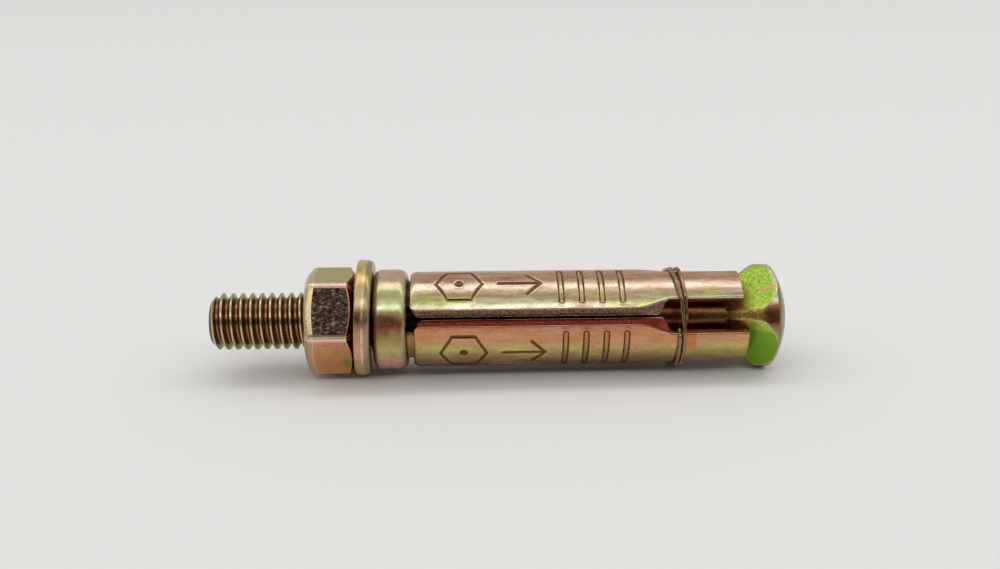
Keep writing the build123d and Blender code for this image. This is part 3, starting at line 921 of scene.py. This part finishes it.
# Where the wire lies along X, by angle. It makes two turns, and both ends dip into the front slot
RING_ROUTE = [
    (176, 29.39), (195, 29.44), (224, 29.45), (262, 29.40), (300, 29.32), (345, 29.20), (390, 29.12),
    (425, 29.08), (451, 29.09), (462, 29.12), (472, 29.21), (480, 29.29), (488, 29.40), (494, 29.49),
    (500, 29.58), (508, 29.65), (517, 29.71), (526, 29.79), (533, 29.86), (543, 29.88), (578, 29.91),
    (622, 29.88), (660, 29.84), (705, 29.78), (760, 29.74), (811, 29.76), (818, 29.81), (832, 29.85),
    (840, 29.90), (850, 29.94), (864, 30.02), (878, 30.12), (892, 30.14),
]
RING_UNDER = 856             # degrees, from where the second turn passes inside the first
RING_DIP, RING_DIP_LENGTH = 0.55, 8   # of the two ends, in millimetres, and over how many degrees
RING_REACH = 13.0            # degrees that an arc goes on past the middle of a slit
SLOT_MIDDLE = 70             # degrees, of one of the four slots
ARC_HALF = 45                # degrees from a leaf's middle to the middle of the slit beside it


def softened(values):
    """Smooths these in place, except for the two ends."""
    for _ in range(3):
        values[1:-1] = (values[:-2] + 2 * values[1:-1] + values[2:]) / 4


def ring_route():
    """Angles, places along X and radii of the wire's middle. Where turns touch, one is outside the other."""
    turns = np.arange(RING_ROUTE[0][0], RING_ROUTE[-1][0] + 0.1, 2.0)
    angles, places = zip(*RING_ROUTE)
    x = np.interp(turns, angles, places)
    softened(x)
    before = np.interp(turns - 360, turns, x)
    apart = np.where(turns > angles[0] + 360, np.abs(x - before), 2 * WIRE_DIAMETER)
    lift = np.sqrt(np.clip((WIRE_DIAMETER * 1.02) ** 2 - apart**2, 0, None))
    lift = np.where(turns < RING_UNDER, lift, -lift)
    # the wire runs straight across each slot from leaf to leaf
    across = np.abs((turns - SLOT_MIDDLE + 45) % 90 - 45)
    level = RING_LEVEL * np.minimum(1, cos(radians(SLOT_HALF)) / np.cos(np.radians(across))) + lift
    from_end = np.minimum(turns - turns[0], turns[-1] - turns)
    level = level - RING_DIP * (1 - smooth_step(from_end, 0, RING_DIP_LENGTH))
    softened(level)
    return turns, x, level


def ring_arc(mesh, middle, columns=14):
    """What a leaf carries of the wire ring. Its ends lie inside its neighbours' and slide out of them."""
    turns, x, radius = ring_route()
    path = ring_points(x, radius, turns)
    for lap in (0, 360, 720):
        away = turns - lap - middle
        chosen = np.flatnonzero(np.abs(away) <= ARC_HALF + RING_REACH)
        # an end of the wire that doesn't come near this leaf's middle belongs to its neighbour
        if len(chosen) < 3 or np.abs(away[chosen]).min() > 30:
            continue
        part = path[chosen]
        # where two arcs overlap, this one is the thinner and lies inside the other
        thick = np.where(away[chosen] > ARC_HALF - RING_REACH, 0.93, 1.0) * WIRE_DIAMETER / 2
        along = np.gradient(part, axis=0)
        along /= np.linalg.norm(along, axis=1)[:, None]
        out = part * np.array([0, 1, 1])
        out /= np.linalg.norm(out, axis=1)[:, None]
        side = np.cross(along, out)
        round_turns = np.arange(columns) * 2 * pi / columns
        outward, sideways = np.cos(round_turns)[None, :, None], np.sin(round_turns)[None, :, None]
        points = part[:, None] + thick[:, None, None] * (outward * out[:, None] + sideways * side[:, None])
        index = mesh.add(points, np.zeros(3))
        mesh.cap(index[0, :-1][::-1])
        mesh.cap(index[-1, :-1])


# Pieces on their bodies


def carried(thing, body, slot, *nodes):
    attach(thing, body)
    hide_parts(*nodes)


bolt_mesh = Mesh("threaded_wedge_bolt")
thread(bolt_mesh)
head(bolt_mesh)
carried(bolt_mesh.make(bolt_finish_and_painted_light(), BOLT_SHARP_EDGE), "bolt", "bolt_steel", "expander_bolt")

nut_mesh = Mesh("chamfered_nut")
nut(nut_mesh)
carried(nut_mesh.make(nut_finish_and_painted_light()), "nut", "nut_steel", "hex_nut")

washer_mesh = Mesh("punched_washer")
washer(washer_mesh)
carried(washer_mesh.make(washer_finish_and_painted_light()), "shield_collar", "washer_steel", "washer")

collar_mesh = Mesh("pressed_collar")
collar(collar_mesh)
carried(collar_mesh.make(collar_finish_and_painted_light()), "shield_collar", "shield_steel", "collar")

shield = shield_finish_and_painted_light()
wire = wire_finish()
for node, middle in LEAVES.items():
    leaf_mesh = Mesh("pressed_" + node)
    leaf(leaf_mesh, node, middle)
    carried(leaf_mesh.make(shield), node, "shield_steel", node)
    arc_mesh = Mesh("ring_arc_" + node)
    ring_arc(arc_mesh, middle)
    carried(arc_mesh.make(wire), node, "spring_wire", "retaining_ring")


# Floor, light and camera

FLOOR_REACH = 9000
washer_low, _ = span("washer")
washer_middle = (nut_end + collar_start) / 2
rim_middle = apex - DOME_HEIGHT - RIM_LENGTH / 2
# the floor touches the washer and the wedge's rim, so it slopes under the level anchor
floor_slope = (-RIM_RADIUS - washer_low[2]) / (rim_middle - washer_middle)
floor_points = [
    (x * FLOOR_REACH * MM, y * FLOOR_REACH * MM,
     (washer_low[2] - 0.01 + floor_slope * (x * FLOOR_REACH - washer_middle)) * MM)
    for x, y in ((-1, -1), (1, -1), (1, 1), (-1, 1))
]
floor_mesh = bpy.data.meshes.new("floor")
floor_mesh.from_pydata(floor_points, [], [(0, 1, 2, 3)])
floor = bpy.data.objects.new("floor", floor_mesh)
bpy.context.scene.collection.objects.link(floor)
paper = bpy.data.materials.new("pale_paper")
paper.use_nodes = True
paper_shader = paper.node_tree.nodes["Principled BSDF"]
paper_shader.inputs["Base Color"].default_value = srgb(245, 244, 244)
paper_shader.inputs["Roughness"].default_value = 0.9
paper_shader.inputs["Specular IOR Level"].default_value = 0.1
floor_mesh.materials.append(paper)

# Metres
LIGHT_MIDDLE = Vector((0.011, 0, 0))
LIGHT_DISTANCE = 1.8


def softbox(name, direction, half_angle, half_length, radiance):
    """A light over the anchor's middle, direction degrees round from the back, where 90 is overhead. Seen from
    there, it fills this many degrees each way, at this brightness."""
    size = [2 * LIGHT_DISTANCE * tan(radians(a)) for a in (half_length, half_angle)]
    data = bpy.data.lights.new(name, "AREA")
    data.shape = "RECTANGLE"
    data.size, data.size_y = size
    data.energy = radiance * pi * size[0] * size[1]
    light = bpy.data.objects.new(name, data)
    turn = radians(direction)
    away = Vector((0, cos(turn) * LIGHT_DISTANCE, sin(turn) * LIGHT_DISTANCE))
    light.location = LIGHT_MIDDLE + away
    light.rotation_mode = "QUATERNION"
    light.rotation_quaternion = (-away).to_track_quat("-Z", "Y")
    bpy.context.scene.collection.objects.link(light)


softbox("overhead", 79, 8.5, 60, 1.5)
softbox("front_strip", 134, 6.5, 60, 1.75)

# The studio's brightness, from 0 to 255, by shares of a half turn over the top, from the horizon behind the
# anchor to the one in front
STUDIO = [(0.0, 207), (0.18, 197), (0.36, 184), (0.55, 206), (0.70, 200), (0.80, 140), (0.86, 84), (1.0, 66)]
DARK_LEVEL = 100
BRIGHT_TINT, DARK_TINT = (1.0, 1, 0.985), (1.08, 1, 0.86)
# A thin strip at the horizon has the floor's tone, so that the floor's far end hardly shows
HORIZON_TONE = (226, 225, 223)
HORIZON_START, HORIZON_END = 0.012, 0.035


def studio_tone(level):
    """The colour of a brightness. The dark parts of the studio are warmer."""
    return [level * tint for tint in (BRIGHT_TINT if level > DARK_LEVEL else DARK_TINT)]


world = bpy.data.worlds.new("studio")
bpy.context.scene.world = world
world.use_nodes = True
sky = Nodes(world.node_tree)
_, back, up = sky.add("SeparateXYZ", {0: sky.add("TexCoord").outputs["Generated"]}).outputs
turn = sky.math("DIVIDE", sky.math("ARCTAN2", sky.math("MAXIMUM", up, 0.0), back), pi)
studio = sky.ramp(turn, [(share, studio_tone(level)) for share, level in STUDIO])
above = sky.add("MapRange", {"Value": up, "From Min": HORIZON_START, "From Max": HORIZON_END}).outputs[0]
sky.links.new(sky.mix(above, HORIZON_TONE, studio), sky.nodes["Background"].inputs["Color"])

# The camera, as fitted to the photo: (500, 318) is the image of this place on the axis
IMAGE_WIDTH, IMAGE_HEIGHT = 1000, 569
FOCAL_PIXELS = 1100
AXIS_PLACE, AXIS_PIXEL = 11.35, 318
DISTANCE, ELEVATION, YAW = 115.5, 20.0, 2.1
SENSOR_WIDTH = 36.0
camera_data = bpy.data.cameras.new("camera")
camera_data.sensor_width = SENSOR_WIDTH
camera_data.lens = SENSOR_WIDTH * FOCAL_PIXELS / IMAGE_WIDTH
camera_data.clip_start, camera_data.clip_end = 0.005, 20
camera = bpy.data.objects.new("camera", camera_data)


def sight(elevation):
    """Direction in which the camera looks, that far down."""
    yaw, down = radians(YAW), radians(elevation)
    return Vector((sin(yaw) * cos(down), cos(yaw) * cos(down), -sin(down)))


lift = degrees(atan2(AXIS_PIXEL - IMAGE_HEIGHT / 2, FOCAL_PIXELS))
camera.location = Vector((AXIS_PLACE * MM, 0, 0)) - sight(ELEVATION) * DISTANCE * MM
camera.rotation_mode = "QUATERNION"
camera.rotation_quaternion = sight(ELEVATION - lift).to_track_quat("-Z", "Y")
bpy.context.scene.collection.objects.link(camera)
bpy.context.scene.camera = camera
bpy.context.scene.view_settings.view_transform = "Standard"
